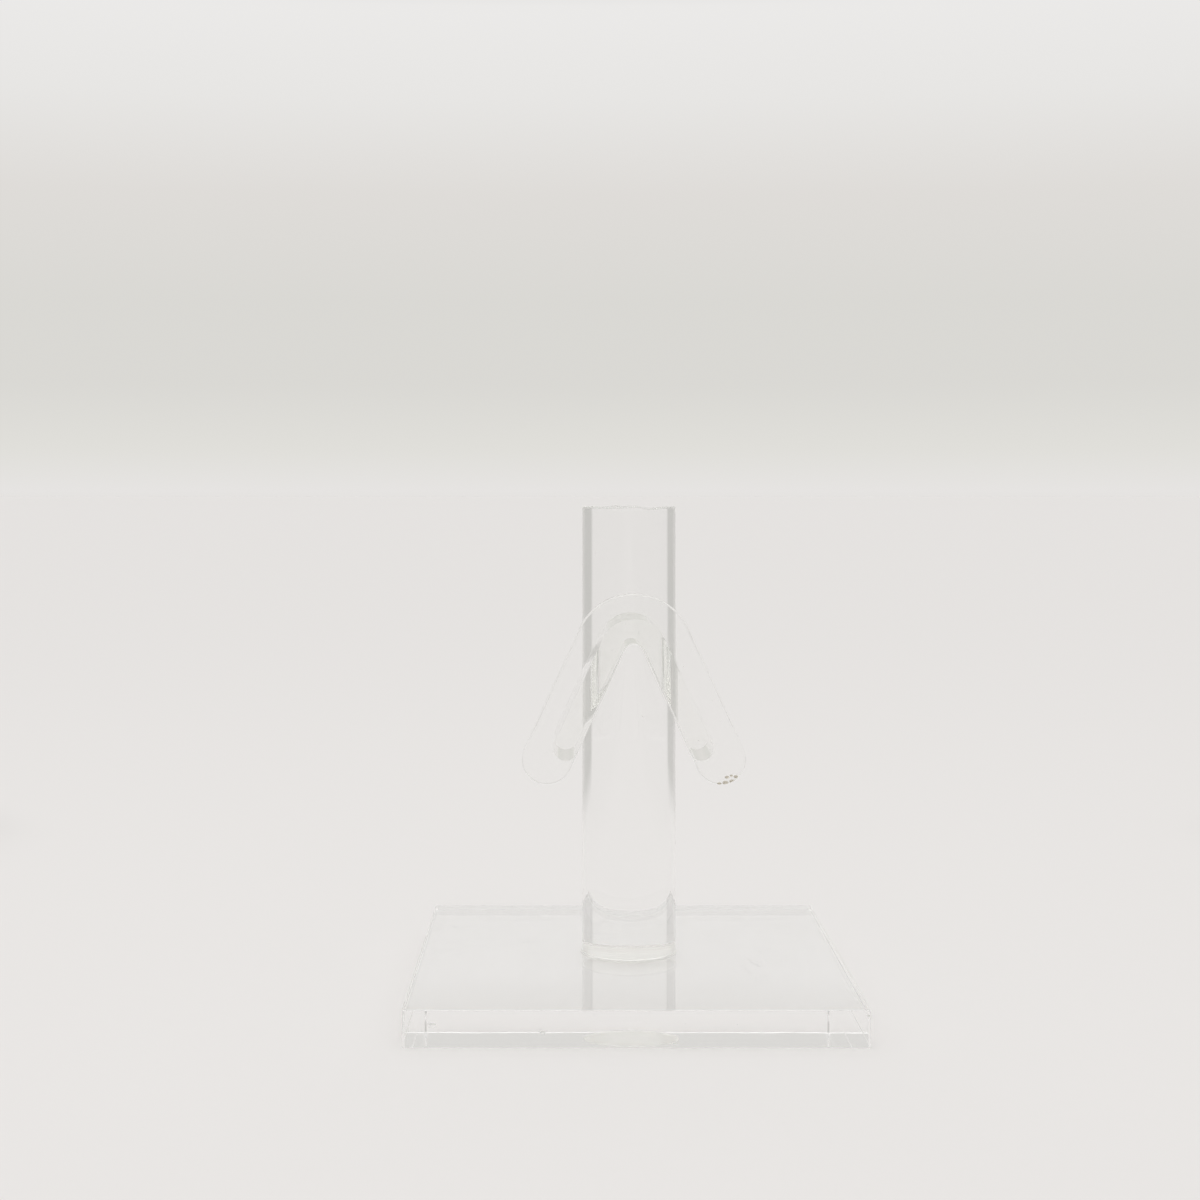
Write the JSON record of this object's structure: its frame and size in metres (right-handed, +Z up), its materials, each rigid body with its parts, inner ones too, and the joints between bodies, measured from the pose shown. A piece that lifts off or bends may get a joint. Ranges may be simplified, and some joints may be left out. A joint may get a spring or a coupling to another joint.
{
  "type": "eyeglasses display stand",
  "caption": "Counter stand in clear acrylic: a flat base plate, an upright round rod and a nose-shaped saddle with a lip that holds a pair of glasses by its bridge.",
  "frame": {"origin": "middle of the base plate's underside, on the surface that the stand rests on", "axes": "+X to the right as seen from the front, +Y to the back, +Z up; the saddle points along -Y"},
  "size_m": [0.08, 0.09, 0.0921],
  "materials": {
    "sheet_acrylic": "clear, polished edges",
    "rod_acrylic": "clear, sawn top end",
    "saddle_acrylic": "clear, polished, fine handling scratches",
    "lip_acrylic": "clear, polished, fine handling scratches",
    "cement": "clear cured cement"
  },
  "bodies": {
    "root": {"base_plate": "sheet_acrylic", "post_rod": "rod_acrylic", "nose_saddle": "saddle_acrylic", "front_lip": "lip_acrylic", "foot_cement": "cement", "seat_cement": "cement", "lip_cement": "cement"}
  },
  "joints": []
}
